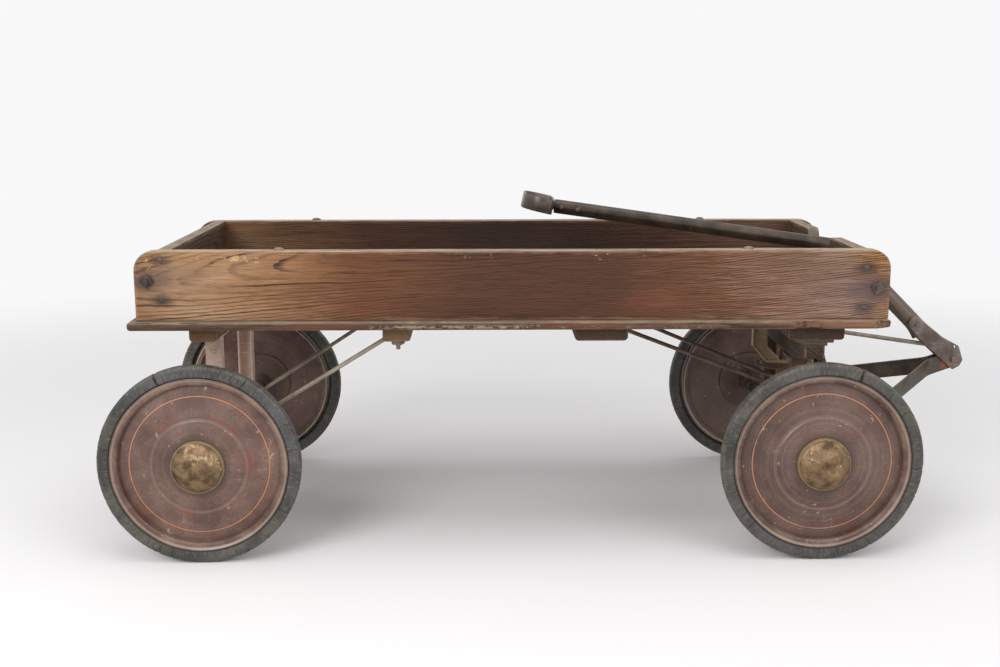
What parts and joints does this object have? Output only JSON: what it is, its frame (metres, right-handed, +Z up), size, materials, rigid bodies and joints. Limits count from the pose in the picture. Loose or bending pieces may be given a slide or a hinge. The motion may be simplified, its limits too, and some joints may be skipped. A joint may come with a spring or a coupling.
{
  "type": "newspaper delivery wagon",
  "caption": "Long shallow wooden box wagon on steel disc wheels with solid tyres, a steered front truck and a pulling tongue stored back over the box.",
  "frame": {"origin": "middle of the overall length and width, on the floor under the wheels", "axes": "+X forward to the tongue's pivot, +Y to the wagon's left side, +Z up"},
  "size_m": [1.158, 0.511, 0.4486],
  "materials": {
    "side_wood": "worn varnish over strong grain",
    "end_wood": "dark stained, worn",
    "floor_wood": "dark stained, paint flecks",
    "cleat_wood": "dark stained, dusty",
    "tyre_rubber": "dusty, perished rubber",
    "disc_enamel": "worn enamel with a fine stripe",
    "cap_brass": "tarnished, pitted",
    "tongue_steel": "dark, oiled, lightly rusted",
    "frame_steel": "dull, lightly rusted"
  },
  "bodies": {
    "box": {"cleat_front": "cleat_wood", "cleat_front_mid": "cleat_wood", "cleat_rear": "cleat_wood", "cleat_rear_mid": "cleat_wood", "end_board_front": "end_wood", "end_board_rear": "end_wood", "floor_boards": "floor_wood", "front_rod_far": "frame_steel", "front_rod_near": "frame_steel", "king_bolt": "frame_steel", "king_dish": "frame_steel", "rear_axle": "frame_steel", "rear_post_far": "frame_steel", "rear_post_near": "frame_steel", "rear_rod_far": "frame_steel", "rear_rod_near": "frame_steel", "side_board_far": "side_wood", "side_board_near": "side_wood", "stay_strap": "frame_steel", "tie_rod_front": "frame_steel", "tie_rod_rear": "frame_steel", "upper_plate": "frame_steel"},
    "front_truck": {"bolster_block": "cleat_wood", "brace_rod": "frame_steel", "front_axle": "frame_steel", "front_post_far": "frame_steel", "front_post_near": "frame_steel", "hound_far": "tongue_steel", "hound_near": "tongue_steel", "lower_plate": "frame_steel", "pivot_pin": "tongue_steel"},
    "tongue": {"fork_far": "tongue_steel", "fork_near": "tongue_steel", "fork_rivets": "tongue_steel", "handle_rivets": "tongue_steel", "handle_strap": "tongue_steel", "tongue_tube": "tongue_steel"},
    "wheel_rear_near": {"tyre_rear_near": "tyre_rubber", "disc_rear_near": "disc_enamel", "cap_rear_near": "cap_brass"},
    "wheel_rear_far": {"tyre_rear_far": "tyre_rubber", "disc_rear_far": "disc_enamel", "cap_rear_far": "cap_brass"},
    "wheel_front_near": {"tyre_front_near": "tyre_rubber", "disc_front_near": "disc_enamel", "cap_front_near": "cap_brass"},
    "wheel_front_far": {"tyre_front_far": "tyre_rubber", "disc_front_far": "disc_enamel", "cap_front_far": "cap_brass"}
  },
  "joints": [
    {"name": "steer", "type": "hinge", "parent": "box", "child": "front_truck", "pos_m": [0.328, 0, 0.271], "axis": [0, 0, 1], "range_deg": [-25, 25]},
    {"name": "tongue_lift", "type": "hinge", "parent": "front_truck", "child": "tongue", "pos_m": [0.567, 0, 0.212], "axis": [0, 1, 0], "range_deg": [0, 165]},
    {"name": "spin_rear_near", "type": "hinge", "parent": "box", "child": "wheel_rear_near", "pos_m": [-0.452, -0.2255, 0.127], "axis": [0, 1, 0], "continuous": true},
    {"name": "spin_rear_far", "type": "hinge", "parent": "box", "child": "wheel_rear_far", "pos_m": [-0.452, 0.2255, 0.127], "axis": [0, 1, 0], "continuous": true},
    {"name": "spin_front_near", "type": "hinge", "parent": "front_truck", "child": "wheel_front_near", "pos_m": [0.328, -0.2255, 0.127], "axis": [0, 1, 0], "continuous": true},
    {"name": "spin_front_far", "type": "hinge", "parent": "front_truck", "child": "wheel_front_far", "pos_m": [0.328, 0.2255, 0.127], "axis": [0, 1, 0], "continuous": true}
  ]
}
